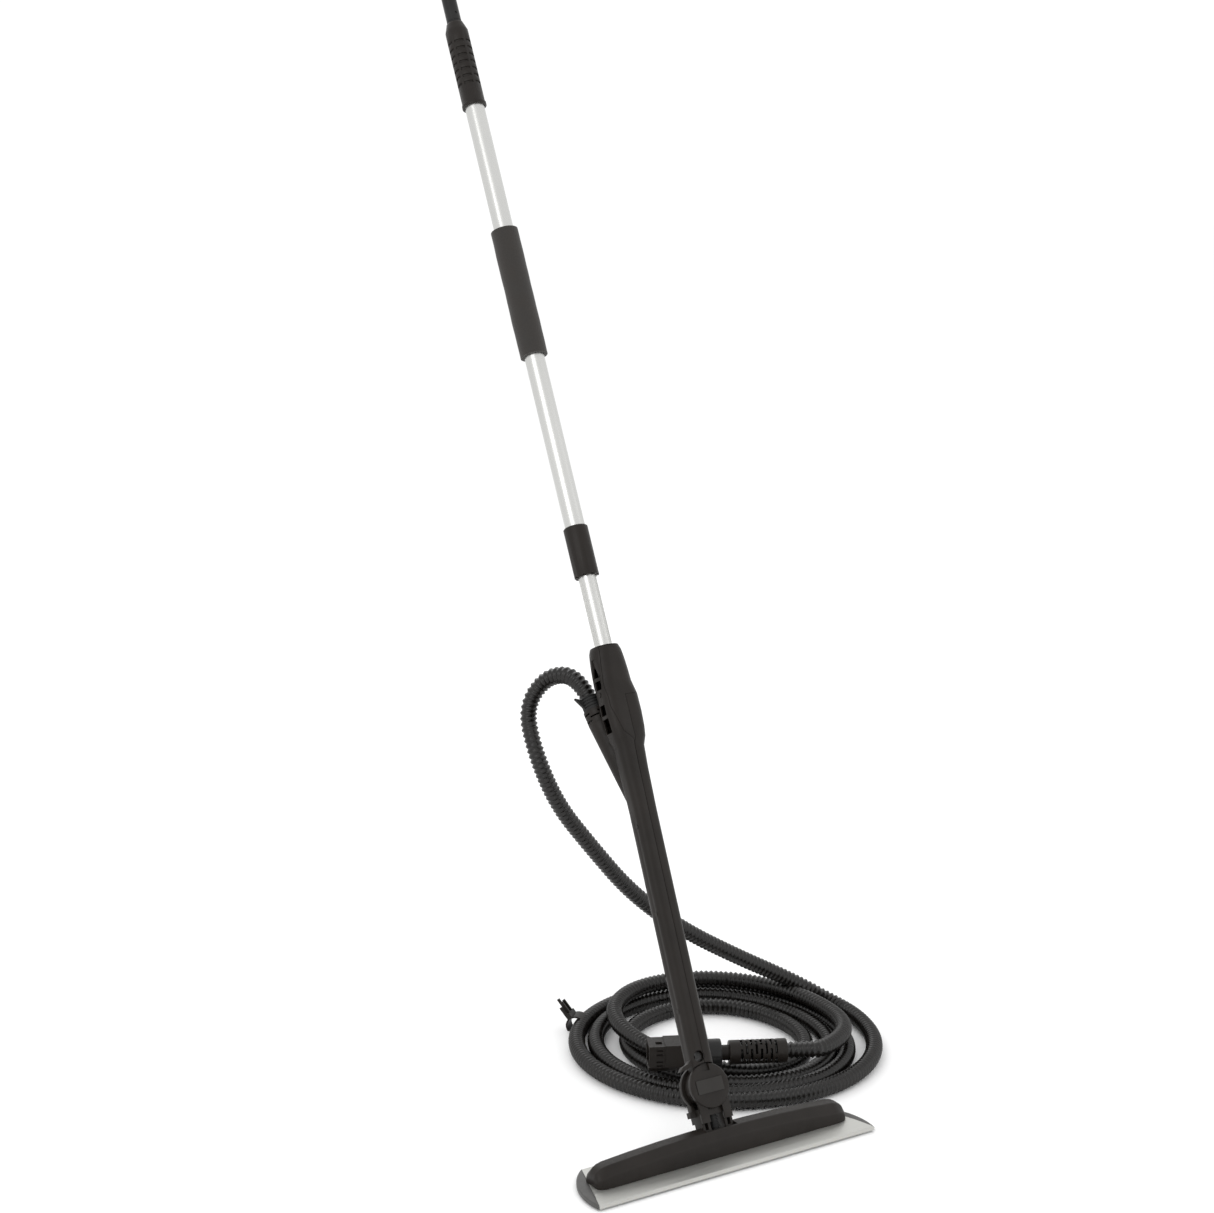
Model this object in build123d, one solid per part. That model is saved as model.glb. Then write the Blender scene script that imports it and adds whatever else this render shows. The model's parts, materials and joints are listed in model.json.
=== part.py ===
"""Telescopic steam mop: aluminium pole, steam lance, double pivot, flat head and steam hose.

Millimetres, +Z up. The origin is on the floor under the middle of the mop head, and X runs
along the head. The lance leans back, towards +Y. Lance and neck pieces are drawn upright in
frames of their own, with z along the lance and y to the rear, and are then set in place.
"""
import math
import os

from build123d import *

# ---- overall layout ----
LEAN = 28.0                   # lance leans back from upright, degrees
SWING = 1.6                   # lance stands a little to the right of square, degrees
TILT_Y = 5.0                  # tilt pin behind the middle of the head
TILT_Z = 23.0                 # tilt pin above the floor
NECK_LENGTH = 57.0            # tilt pin to swing bolt
POLE_OFFSET = 10.0            # pole axis in front of the swing plane
SLIDE_GAP = 0.05              # radial clearance of running fits
SEAM = 0.35                   # visible gap round the fairing's cover

# ---- pole ----
TUBE_WALL = 1.4
INNER_D = 21.5
INNER_LOW = 492.0
INNER_TOP = 1195.0
FLUTE_COUNT = 24
FLUTE_DEPTH = 0.35
FLUTE_WIDTH = 1.4
TUBE_SCREW_Z = 512.0
BUSH_WALL = 2.0               # wall of the bush round the inner tube's foot
SCREW_R = 2.0
SCREW_OFFSET = 3.0            # shell screws stand this far in front of the lance's middle
SCREW_PROUD = 0.3
OUTER_D = 25.0
OUTER_LOW = 650.0
OUTER_TOP = 1340.0
FOAM_D = 35.0
FOAM_LOW = 912.0
FOAM_TOP = 1082.0
GRIP_D = 29.6
GRIP_LOW = 1255.0
GRIP_TOP = 1362.0
GRIP_ROWS = 7
GRIP_PITCH = 9.8
GRIP_FIRST_ROW = 1285.0
GRIP_COLUMNS = 6
GRIP_GROOVE = 1.5             # depth of a finger groove
GRIP_SLOT = 3.4               # its height
GRIP_LAND = 14.0              # turn between two grooves in a row, degrees
STUB_D = 19.0
STUB_TOP = 1416.0
STUB_RELIEF = 0.4             # the stub's foot in the grip is thinner by this
STUB_GAP = 3.0                # and stands clear of the grip by this
SHOULDER_HEIGHT = 12.0
COLLAR_D = 30.4
COLLAR_LOW = 622.0
COLLAR_TOP = 686.0
COLLAR_WALL = 1.5
COLLAR_SCALLOPS = 8

# ---- lance ----
SHELL_WALL = 2.4
LANCE_LOW = 18.0              # the shells' lower end, before it is cut to the disc
TONGUE_TOP = 62.0
GROOVE = 0.7                  # width and depth of the parting groove
LANCE_STRAIGHT = 330.0        # above this the lance widens towards the fairing
LANCE_TOP = 532.0
LANCE_WIDTH = 29.6
LANCE_DEPTH = 26.0
FAIRING_WIDTH = 48.8
FAIRING_DEPTH = 32.0
FAIRING_STEP = 416.0          # where the fairing steps in to the lance
FAIRING_WIDEST = 446.0
RIM_D = 34.0
RIM_THICKNESS = 3.0
COVER_SEAM = 468.0
FAIRING_Y = -14.0             # middle of the fairing's depth
SOCKET_D = 30.0
SOCKET_LENGTH = 18.0
BRANCH_X = -12.0
BRANCH_Y = 18.0
BRANCH_Z = 446.0
BRANCH_LEAN = 9.0
BRANCH_SPREAD = 5.0
BRANCH_LENGTH = 130.0
PIPE_R = 3.0
PIPE_WALL = 0.8
PIPE_ROOM = 0.3               # clearance round the steam pipe in the branch
BARB_FOOT = -30.0             # where the steam pipe meets the hose's spigot

# ---- neck ----
DISC_R = 26.0
DISC_CLEAR = 1.0              # room between the discs and the lance's lower end
DISC_THICKNESS = 5.0
TONGUE_THICKNESS = 14.0
TONGUE_R = 22.0
TONGUE_GAP = 1.0              # room for a washer on each side of the tongue
BOLT_D = 10.0
EYE_D = 12.5                  # hanging hole above the swing bolt
EYE_X = -5.0
EYE_RISE = 35.0
PIPE_X = 8.6                  # the steam pipe passes beside the hanging hole
LEG_INNER = 10.0
LEG_OUTER = 21.0
LEG_THICKNESS = 16.0
LEG_EYE_R = 9.0
TILT_PIN_D = 8.0

# ---- head ----
PLATE_FRONT_LENGTH = 384.0
PLATE_TAPER = 32.0            # each end is shorter by this at the back
PLATE_WIDTH = 90.0
PLATE_BOTTOM = 2.5
PLATE_TOP = 8.0
CAP_BULGE = 14.0
BONNET_LENGTH = 349.0
BONNET_WIDTH = 36.0
BONNET_WALL = 1.8
BONNET_NOSE = 17.0            # length of the rounded ends
BONNET_ROUND = 3.6            # rounding of its long edges
PAD_LENGTH = 300.0            # hook pad under the plate
PAD_WIDTH = 76.0
PAD_TOP = 3.7
JET_D = 5.0
JET_GAP = 0.1
PLATE_HOLE_R = 1.6            # bonnet screws' holes in the plate
THREAD_R = 1.3
SCREW_TIP = 19.0              # how high the bonnet's screws reach
TENON_WIDTH = 52.0            # end caps' tenons in the plate's ends
TENON_REACH = 20.0
TENON_LOW = 4.5
TENON_TOP = 6.2
MANIFOLD_D = 8.0
MANIFOLD_LENGTH = 244.0
MANIFOLD_Y = -10.5
MANIFOLD_Z = 13.5
JET_COUNT = 6
EAR_THICKNESS = 5.0

# ---- hose ----
HOSE_D = 21.8
HOSE_SEAT = 7.0               # where the hose ends in its socket
HOSE_RISE = 62.5              # how far it runs straight on from the socket's foot
CLIP_WALL = 2.4
CLIP_WIDTH = 20.0
CLIP_RISE = 52.0              # the fingers' slope, degrees
CLIP_FINGERS = 5
CLIP_FINGER = 2.2
COIL_X = 190.0
COIL_Y = 259.0
COIL_R = 208.0
COIL_HOLE_X = 176.0
COIL_HOLE_Y = 264.0
COIL_HOLE_R = 96.0
COIL_SLOPE = 22.0             # the upper turns lie inside the lowest one
COIL_HEIGHT = 34.0
CONNECTOR_X = 30.0            # left end of the connector
CONNECTOR_Y = 196.0
CONNECTOR_TURN = -27.0        # how the connector lies across the coil, degrees
CONNECTOR_Z = 47.0
BLOCK_WIDTH = 32.0
BLOCK_HEIGHT = 34.0
BLOCK_CHAMFER = 7.0           # along the housing's lower edges
MOUTH_DEPTH = 14.0
MOUTH_WALL = 3.0
BARREL_D = 35.0
RELIEF_D = 30.0

HOSE_ROUTE = [
    (-22.0, 341.0, 506.0),
    (-46.0, 357.0, 465.0),
    (-48.0, 333.0, 414.0),
    (-16.0, 334.0, 341.0),
    (32.0, 335.0, 280.0),
    (92.0, 330.0, 206.0),
    (168.0, 326.0, 144.0),
    (252.0, 322.0, 92.0),
    (334.0, 312.0, 46.0),
    (383.0, 281.0, 14.0),
]


def placed_neck():
    """The neck's frame: origin on the tilt pin, z up the neck."""
    return Pos(0, TILT_Y, TILT_Z) * Rot(-LEAN, 0, 0)


def placed_lance():
    """The lance's frame: origin on the swing bolt, z up the lance."""
    return placed_neck() * Pos(0, 0, NECK_LENGTH) * Rot(0, SWING, 0)


def placed_pole():
    """The pole's frame: the pole's axis is its z axis."""
    return placed_lance() * Pos(0, -POLE_OFFSET, 0)


def branch_in_lance():
    """The hose branch in the lance's frame: origin at the socket's foot, z along the hose."""
    return Pos(BRANCH_X, BRANCH_Y, BRANCH_Z) * Rot(-BRANCH_LEAN, -BRANCH_SPREAD, 0)


def placed_branch():
    """The same frame set in place."""
    return placed_lance() * branch_in_lance()


def placed_connector():
    """The hose connector's frame: x along the connector, origin at its plug end."""
    return Pos(CONNECTOR_X, CONNECTOR_Y, CONNECTOR_Z) * Rot(0, 0, CONNECTOR_TURN)


def rod(radius, low, high):
    """A cylinder on the z axis from low to high."""
    return Pos(0, 0, low) * Cylinder(radius, high - low, align=(Align.CENTER, Align.CENTER, Align.MIN))


def ring(outer_radius, inner_radius, low, high):
    """A ring on the z axis from low to high."""
    return rod(outer_radius, low, high) - rod(inner_radius, low - 1, high + 1)


def block(x_low, x_high, y_low, y_high, z_low, z_high):
    """A box between two corners."""
    centre = Pos((x_low + x_high) / 2, (y_low + y_high) / 2, (z_low + z_high) / 2)
    return centre * Box(x_high - x_low, y_high - y_low, z_high - z_low)


def rod_along_y(radius, y_low, y_high, x=0.0, z=0.0):
    """A cylinder along y, through x and z."""
    length = y_high - y_low
    return Pos(x, y_low + length / 2, z) * Rot(90, 0, 0) * Cylinder(radius, length)


def rod_along_x(radius, x_low, x_high, y=0.0, z=0.0):
    """A cylinder along x, through y and z."""
    length = x_high - x_low
    return Pos(x_low + length / 2, y, z) * Rot(0, 90, 0) * Cylinder(radius, length)


def export(shape, node):
    """Write one node's STEP file."""
    export_step(shape, f"parts/{node}.step")
    solids = shape.solids()
    print(f"{node}: {len(solids)} solid(s), {sum(s.volume for s in solids) / 1000:.1f} cm3")


def group(solids):
    """Several separate solids kept in one node."""
    return Compound(children=list(solids))


# ---------------------------------------------------------------- pole

def inner_tube():
    """Finely fluted aluminium tube that is fixed in the lance."""
    tube = ring(INNER_D / 2, INNER_D / 2 - TUBE_WALL, INNER_LOW, INNER_TOP)
    flute = Box(FLUTE_DEPTH * 2, FLUTE_WIDTH, INNER_TOP - LANCE_TOP,
                align=(Align.CENTER, Align.CENTER, Align.MIN))
    flutes = PolarLocations(INNER_D / 2, FLUTE_COUNT) * flute
    tube -= rod_along_y(SCREW_R, -INNER_D, INNER_D, z=TUBE_SCREW_Z)
    return tube - [Pos(0, 0, LANCE_TOP + 4) * f for f in flutes]


def tube_guide():
    """Plastic bush on the inner tube's top end that slides in the outer tube."""
    bore_radius = OUTER_D / 2 - TUBE_WALL
    head = rod(bore_radius - SLIDE_GAP, INNER_TOP, INNER_TOP + 8)
    spigot = rod(INNER_D / 2 - TUBE_WALL - SLIDE_GAP, INNER_TOP - 22, INNER_TOP)
    return head + spigot - rod(5, INNER_TOP - 30, INNER_TOP + 10)


def outer_tube():
    """Smooth aluminium tube that slides on the inner one."""
    return ring(OUTER_D / 2, OUTER_D / 2 - TUBE_WALL, OUTER_LOW, OUTER_TOP)


def foam_grip():
    """Soft sleeve round the outer tube."""
    sleeve = rod(FOAM_D / 2, FOAM_LOW, FOAM_TOP)
    ends = sleeve.edges().filter_by(GeomType.CIRCLE)
    sleeve = fillet(ends, 4)
    recess = ring(OUTER_D / 2 + 2.2, OUTER_D / 2 - 1, FOAM_LOW - 1, FOAM_LOW + 2)
    return sleeve - rod(OUTER_D / 2, FOAM_LOW - 1, FOAM_TOP + 1) - recess


def top_grip():
    """Hard grip with rows of short finger grooves and a lip at its lower end."""
    body = rod(GRIP_D / 2, GRIP_LOW, GRIP_TOP)
    body += rod(GRIP_D / 2 + 0.9, GRIP_LOW, GRIP_LOW + 4)
    shoulder = Pos(0, 0, GRIP_TOP) * Cone(GRIP_D / 2, STUB_D / 2 + 1.2, SHOULDER_HEIGHT,
                                          align=(Align.CENTER, Align.CENTER, Align.MIN))
    body += shoulder
    body -= rod(OUTER_D / 2, GRIP_LOW - 1, OUTER_TOP)
    body -= rod(STUB_D / 2 - STUB_RELIEF, OUTER_TOP - 1, GRIP_TOP + SHOULDER_HEIGHT + 1)
    groove = ring(GRIP_D / 2 + 3, GRIP_D / 2 - GRIP_GROOVE, -GRIP_SLOT / 2, GRIP_SLOT / 2) & grip_wedge()
    cuts = []
    for row in range(GRIP_ROWS):
        for column in range(GRIP_COLUMNS):
            height = GRIP_FIRST_ROW + row * GRIP_PITCH
            cuts.append(Pos(0, 0, height) * Rot(0, 0, column * 360 / GRIP_COLUMNS) * groove)
    return body - cuts


def grip_wedge():
    """Wedge that keeps one finger groove short of its neighbours."""
    reach = 2 * GRIP_D
    half_turn = math.radians((360 / GRIP_COLUMNS - GRIP_LAND) / 2)
    tip_x = reach * math.cos(half_turn)
    tip_y = reach * math.sin(half_turn)
    triangle = make_face(Polyline((0, 0), (tip_x, -tip_y), (tip_x, tip_y), close=True))
    return Pos(0, 0, -GRIP_SLOT / 2) * extrude(triangle, amount=GRIP_SLOT)


def top_stub():
    """Round stub in the pole's upper end, which a handle pushes on."""
    shoulder_top = GRIP_TOP + SHOULDER_HEIGHT
    stub = rod(STUB_D / 2 - STUB_RELIEF, OUTER_TOP, shoulder_top + STUB_GAP)
    stub += rod(STUB_D / 2, shoulder_top + STUB_GAP, STUB_TOP)
    stub = chamfer(stub.edges().group_by(Axis.Z)[-1], 1.8)
    spigot = rod(OUTER_D / 2 - TUBE_WALL - SLIDE_GAP, OUTER_TOP - 36, OUTER_TOP)
    dimple = rod_along_y(1.6, -STUB_D, -STUB_D / 2 + 1.2, z=shoulder_top + 12)
    return stub + spigot - dimple


def collet():
    """Slit clamping sleeve on the outer tube's lower end."""
    inner = INNER_D / 2 + SLIDE_GAP
    lower = ring(COLLAR_D / 2 - COLLAR_WALL - 0.5, inner, COLLAR_LOW + 2.5, OUTER_LOW)
    upper = ring(COLLAR_D / 2 - COLLAR_WALL - SLIDE_GAP, OUTER_D / 2, OUTER_LOW, OUTER_LOW + 18)
    slit = Box(40, 1.2, 20, align=(Align.CENTER, Align.CENTER, Align.MIN))
    slits = [Pos(0, 0, COLLAR_LOW + 1) * Rot(0, 0, turn) * slit for turn in (0, 90)]
    return lower + upper - slits


def lock_collar():
    """Twist collar that closes the collet, with a scalloped lower edge."""
    body = rod(COLLAR_D / 2, COLLAR_LOW, COLLAR_TOP)
    body = chamfer(body.edges().group_by(Axis.Z)[-1], 1.5)
    body -= rod(COLLAR_D / 2 - COLLAR_WALL, COLLAR_LOW + 2, OUTER_LOW + 18.2)
    body -= rod(INNER_D / 2 + 0.4, COLLAR_LOW - 1, COLLAR_LOW + 3)
    body -= rod(OUTER_D / 2 + 0.1, OUTER_LOW + 17, COLLAR_TOP + 1)
    scallop = rod_along_y(3.2, -3, 3)
    cuts = []
    for index in range(COLLAR_SCALLOPS):
        turn = 360 / COLLAR_SCALLOPS * index
        place = Pos(0, 0, COLLAR_LOW - 1.6) * Rot(0, 0, turn) * Pos(0, COLLAR_D / 2 - 0.6, 0)
        cuts.append(place * scallop)
    return body - cuts


# ---------------------------------------------------------------- lance

def lance_section(height):
    """Height, width, depth, corner radius and y centre of a section of the lance's straight part."""
    share = (height - LANCE_LOW) / (LANCE_STRAIGHT - LANCE_LOW)
    return height, LANCE_WIDTH + share, LANCE_DEPTH + share, 8.5 + share, -POLE_OFFSET * share


def lance_stations():
    """Sections of the lance from its foot into the fairing."""
    return [
        lance_section(LANCE_LOW),
        lance_section(LANCE_STRAIGHT),
        (350.0, LANCE_WIDTH + 2.2, LANCE_DEPTH + 1.4, 10.0, -POLE_OFFSET - 0.6),
        (378.0, LANCE_WIDTH + 4.4, LANCE_DEPTH + 2, 11.0, FAIRING_Y + 3),
        (FAIRING_STEP, LANCE_WIDTH + 7.4, LANCE_DEPTH + 4, 12.0, FAIRING_Y + 1),
    ]


def fairing_section(height):
    """One section of the fairing round the tube's foot: it bulges out to its widest part."""
    if height > FAIRING_WIDEST:
        rise = (height - FAIRING_WIDEST) / (LANCE_TOP - FAIRING_WIDEST)
        width = RIM_D + 1 + (FAIRING_WIDTH - RIM_D - 1) * math.sqrt(max(0, 1 - rise ** 2))
    else:
        drop = (FAIRING_WIDEST - height) / (FAIRING_WIDEST - FAIRING_STEP)
        width = FAIRING_WIDTH - 5.5 * drop ** 2
    upper = min(max((height - 468) / (INNER_LOW - 6 - 468), 0), 1)
    depth = FAIRING_DEPTH + (RIM_D - FAIRING_DEPTH) * upper
    centre = FAIRING_Y + (-POLE_OFFSET - FAIRING_Y) * upper
    radius = 13 + 3.6 * upper
    return height, width, depth, radius, centre


def fairing_stations():
    """Sections of the fairing from its foot to its rim."""
    foot = (FAIRING_STEP - 12, LANCE_WIDTH + 6, LANCE_DEPTH + 2, 12.0, FAIRING_Y + 1)
    heights = (FAIRING_STEP, 428, FAIRING_WIDEST, 468, INNER_LOW - 6, 499, 510, 519, 526, LANCE_TOP)
    return [foot] + [fairing_section(height) for height in heights]


def loft_stations(stations, inset):
    """Loft through rounded rectangles, each drawn in by the inset."""
    faces = []
    for height, width, depth, radius, centre in stations:
        outline = RectangleRounded(width - 2 * inset, depth - 2 * inset, max(radius - inset, 1.5))
        faces.append(Pos(0, centre, height) * outline)
    return loft(faces, ruled=True)


def branch_cone(inset, extra=0.0):
    """The tapering branch that the hose socket sits on, in the lance's frame."""
    foot_radius = PIPE_R + PIPE_ROOM + SHELL_WALL
    cone = Cone(foot_radius - inset, SOCKET_D / 2 - inset, BRANCH_LENGTH + extra,
                align=(Align.CENTER, Align.CENTER, Align.MAX))
    return branch_in_lance() * Pos(0, 0, extra) * cone


def lance_hull():
    """The lance's full wall, before it is split into shells."""
    outer = loft_stations(lance_stations(), 0) + loft_stations(fairing_stations(), 0) + branch_cone(0)
    inner_lance = loft_stations(lance_stations(), SHELL_WALL)
    inner_fairing = loft_stations(fairing_stations(), SHELL_WALL)
    inner_fairing -= block(-60, 60, -60, 60, LANCE_TOP - RIM_THICKNESS, LANCE_TOP + 1)
    hull = outer - inner_lance - inner_fairing - branch_cone(SHELL_WALL, 0.5)
    hull -= Pos(0, -POLE_OFFSET, 0) * rod(INNER_D / 2 + SEAM, LANCE_TOP - 8, LANCE_TOP + 1)
    hull -= rod_along_y(DISC_R + DISC_CLEAR, -60, 60)
    hull -= rod_along_y(EYE_D / 2 + 0.4, -60, 60, x=EYE_X, z=EYE_RISE)
    hull -= tongue_root()
    return hull - parting_groove()


def parting_groove():
    """Groove down the lance's front where the two shells meet."""
    fronts = [(centre - depth / 2, height) for height, width, depth, radius, centre in lance_stations()]
    outer = [(y - 5, z) for y, z in fronts]
    inner = [(y + GROOVE, z) for y, z in reversed(fronts)]
    face = make_face(Polyline(*[(-GROOVE / 2, y, z) for y, z in outer + inner], close=True))
    return extrude(face, amount=GROOVE, dir=(1, 0, 0)) - cover_outline(SEAM)


def tongue_root():
    """The part of the tongue that the shells' lower end closes on."""
    root = LANCE_WIDTH / 2 - SHELL_WALL
    half = TONGUE_THICKNESS / 2
    return block(-root, root, -half, half, 0, TONGUE_TOP)


def cover_outline(gap):
    """Prism that separates the fairing's front cover from the shells."""
    points = [
        (-14 - gap, LANCE_TOP - 1 + gap), (-17 - gap, 510), (-20 - gap, 480), (-20 - gap, 455),
        (-12 - gap, 424 - gap), (1.5 + gap, 410 - gap), (1.5 + gap, COVER_SEAM - gap),
        (40, COVER_SEAM - gap), (40, LANCE_TOP - 1 + gap),
    ]
    face = make_face(Polyline(*[(x, -POLE_OFFSET - 6 + gap, z) for x, z in points], close=True))
    return extrude(face, amount=50, dir=(0, -1, 0))


def pocket_cuts():
    """Open pockets between ribs on the left side of the fairing."""
    left = -FAIRING_WIDTH / 2
    rows = [(494, 517, 11), (479, 490, 10), (447, 460, 11), (425, 443, 13)]
    cuts = []
    for low, high, width in rows:
        y_low = FAIRING_Y - width / 2
        cuts.append(block(left - 4, left + 4.5, y_low, y_low + width, low, high))
    return cuts


def clip_notches():
    """Small clip holes down the left shell's rear edge."""
    cuts = []
    for height in (135, 241, 320):
        height, width, depth, radius, centre = lance_section(height)
        rear = centre + depth / 2
        cuts.append(block(-width / 2 - 3, -width / 2 + 1.4, rear - 8.5, rear - 4.5, height - 3, height + 3))
    return cuts


def shell_half(hull, side):
    """One half of the lance: side -1 is left, +1 is right."""
    half = block(0, 80, -80, 80, -10, 600) if side > 0 else block(-80, 0, -80, 80, -10, 600)
    return hull & half


def lance_lip():
    """Short pointed lip at the lower left corner of the left shell."""
    outline = Polyline((-13.6, 34), (-13.6, 26), (-22, 23.5), (-31.5, 21.5), (-27, 26.5), (-19, 29), close=True)
    face = Rot(90, 0, 0) * make_face(outline)
    return extrude(face, amount=8, dir=(0, -1, 0))


def pivot_tongue():
    """Flat tongue at the lance's foot, with the swing eye and a hanging hole."""
    half = TONGUE_THICKNESS / 2
    tongue = rod_along_y(TONGUE_R, -half, half)
    tongue += tongue_root()
    tongue -= rod_along_y(BOLT_D / 2 + SLIDE_GAP, -20, 20)
    tongue -= rod_along_y(EYE_D / 2, -20, 20, x=EYE_X, z=EYE_RISE)
    for offset in (-3.6, 0, 3.6):
        groove = ring(TONGUE_R + 1, TONGUE_R - 1.4, -0.8, 0.8)
        lower = block(-40, 40, -40, 40, -1, 1) & block(-40, 40, -40, -6, -1, 1)
        tongue -= Pos(0, offset, 0) * Rot(90, 0, 0) * (groove & lower)
    return tongue - Pos(PIPE_X, 0, 0) * rod(PIPE_R, 12, TONGUE_TOP + 1)


def steam_pipe():
    """Bent metal pipe that carries steam from the hose down to the tongue."""
    elbow = (branch_in_lance() * Pos(0, 0, -BRANCH_LENGTH)).position
    foot = (branch_in_lance() * Pos(0, 0, BARB_FOOT)).position
    points = [(PIPE_X, 0, 12), (PIPE_X, 0, 70), (1, -3, 118), (0, -7, 270), tuple(elbow),
              tuple(foot)]
    path = FilletPolyline(*points, radius=18)
    start = Plane(origin=path @ 0, z_dir=path % 0)
    return sweep(start * Circle(PIPE_R), path=path) - sweep(start * Circle(PIPE_R - PIPE_WALL), path=path)


def tube_socket():
    """Bush that holds the inner tube's foot inside the fairing."""
    outer = INNER_D / 2 + BUSH_WALL
    body = ring(outer, INNER_D / 2, INNER_LOW, LANCE_TOP - RIM_THICKNESS)
    body += ring(outer, 6, INNER_LOW - 6, INNER_LOW)
    flange = ring(outer + 1, INNER_D / 2, INNER_LOW, INNER_LOW + 2)
    return body + flange - rod_along_y(SCREW_R, -40, 40, z=TUBE_SCREW_Z)


def tube_screw():
    """Cross bolt through the bush and the tube's foot."""
    length = INNER_D / 2 + BUSH_WALL
    screw = rod_along_y(SCREW_R, -length, length, z=TUBE_SCREW_Z)
    return screw + rod_along_y(1.8 * SCREW_R, length, length + 1.6, z=TUBE_SCREW_Z)


def hose_socket():
    """Slotted collar at the branch's mouth."""
    body = ring(SOCKET_D / 2, HOSE_D / 2 + 0.3, 0, SOCKET_LENGTH)
    slots = []
    for row, height in enumerate((4, 8.5, 13)):
        for column in range(4):
            turn = column * 90 + row % 2 * 45
            slots.append(Rot(0, 0, turn) * block(8, 20, -6, 6, height - 0.9, height + 0.9))
    return body - slots


def hose_sleeve():
    """Finely ribbed boot round the hose with a wedge flap on its left."""
    low = SOCKET_LENGTH
    body = ring(SOCKET_D / 2 - 1.2, HOSE_D / 2 + 0.3, low, low + 16)
    for index in range(4):
        height = low + 3 + index * 3.6
        body -= ring(SOCKET_D / 2 + 1, SOCKET_D / 2 - 2.2, height, height + 1.3)
    face = make_face(Polyline((-13, -2, low + 2), (-13, -2, low + 15), (-22, -2, low + 19), close=True))
    return body + extrude(face, amount=4, dir=(0, 1, 0))


def hose_barb():
    """Ribbed metal spigot inside the branch that the hose's inner pipe pushes on."""
    body = ring(6.5, PIPE_R, BARB_FOOT + 4, 6)
    for height in (-20, -14, -8):
        body += Pos(0, 0, height) * (Cone(7.6, 6.5, 3.6) - Cylinder(4, 10))
    body += ring(9.0, PIPE_R, BARB_FOOT, BARB_FOOT + 4)
    return body


def hose_ferrule():
    """Crimped band that holds the hose on its spigot."""
    return ring(9.4, 8.0, -18, -4) - [ring(10, 9.0, -13, -12), ring(10, 9.0, -9, -8)]


def shell_screws():
    """Four screws that close the two lance shells, from the left."""
    places = [(-FAIRING_WIDTH / 2, FAIRING_Y, 473)]
    for height in (90, 205, 310):
        height, width, depth, radius, centre = lance_section(height)
        places.append((-width / 2, centre - SCREW_OFFSET, height))
    solids = []
    for x, y, z in places:
        head = rod_along_x(2.9, x - SCREW_PROUD, x + 2.2, y=y, z=z)
        solids.append(head + rod_along_x(1.4, x + 2.2, x + 12.2, y=y, z=z))
    return solids


# ---------------------------------------------------------------- neck

def neck_yoke():
    """Rear disc, bridge and the two legs that stand on the tilt pin."""
    half = TONGUE_THICKNESS / 2 + TONGUE_GAP
    yoke = rod_along_y(DISC_R, half, half + DISC_THICKNESS, z=NECK_LENGTH)
    leg_top = NECK_LENGTH - TONGUE_R - 1.5
    for side in (-1, 1):
        low = min(side * LEG_INNER, side * LEG_OUTER)
        high = max(side * LEG_INNER, side * LEG_OUTER)
        yoke += rod_along_x(LEG_EYE_R, low, high)
        yoke += block(low, high, -LEG_THICKNESS / 2, LEG_THICKNESS / 2, 0, leg_top)
        yoke += block(low, high, LEG_THICKNESS / 2, half + DISC_THICKNESS, 18, NECK_LENGTH - 12)
        yoke -= rod_along_x(TILT_PIN_D / 2 + 2, low - 1, high + 1)
        slot_x = side * (LEG_INNER + LEG_OUTER) / 2
        yoke -= block(slot_x - 2.2, slot_x + 2.2, -LEG_THICKNESS, -2, 9, 21)
    yoke += block(-LEG_INNER - 1, LEG_INNER + 1, -LEG_THICKNESS / 2, LEG_THICKNESS / 2, leg_top - 9, leg_top)
    yoke += block(-LEG_OUTER - 7, -LEG_OUTER + 1, 0, 8, 26, 33)
    yoke += block(-LEG_OUTER - 4, -LEG_OUTER + 1, 0, 8, 33, 40)
    yoke -= rod_along_y(BOLT_D / 2 + SLIDE_GAP, 0, 40, z=NECK_LENGTH)
    yoke -= rod_along_y(9.5, half + DISC_THICKNESS - 2.5, 40, z=NECK_LENGTH)
    return yoke - rod(5.6, leg_top - 12, leg_top - 3)


def disc_cap():
    """Round front disc with two tabs that lie on the legs."""
    half = TONGUE_THICKNESS / 2 + TONGUE_GAP
    front = -half - DISC_THICKNESS
    cap = rod_along_y(DISC_R, front, -half, z=NECK_LENGTH)
    rim = cap.edges().filter_by(GeomType.CIRCLE).group_by(Axis.Y)[0]
    cap = chamfer(rim, 0.9)
    for side in (-1, 1):
        low = min(side * LEG_INNER, side * LEG_OUTER)
        high = max(side * LEG_INNER, side * LEG_OUTER)
        cap += block(low, high, front + 1.6, -LEG_THICKNESS / 2, 17, NECK_LENGTH - 12)
    cap -= rod_along_y(BOLT_D / 2 + SLIDE_GAP, front + 1.8, 0, z=NECK_LENGTH)
    notch = block(-5, 5, front - 1, front + 2.5, NECK_LENGTH + DISC_R - 9, NECK_LENGTH + DISC_R + 5)
    return cap - notch - badge_block(0.0)


def badge_block(proud):
    """The shape of the blank plate, and of the seat it lies in."""
    front = -TONGUE_THICKNESS / 2 - TONGUE_GAP - DISC_THICKNESS
    plate = Pos(0, front + 0.5, NECK_LENGTH) * Rot(90, 0, 0) * extrude(
        RectangleRounded(36, 16, 1.2), amount=0.5 + proud)
    return plate


def pivot_bolt():
    """Swing bolt through both discs and the tongue, held by a nut at the rear."""
    half = TONGUE_THICKNESS / 2 + TONGUE_GAP
    front = -half - DISC_THICKNESS
    shank = rod_along_y(BOLT_D / 2, front + 1.8, half + DISC_THICKNESS - 0.4, z=NECK_LENGTH)
    return shank - rod_along_y(2, -half + 1, half + 40, z=NECK_LENGTH)


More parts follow.
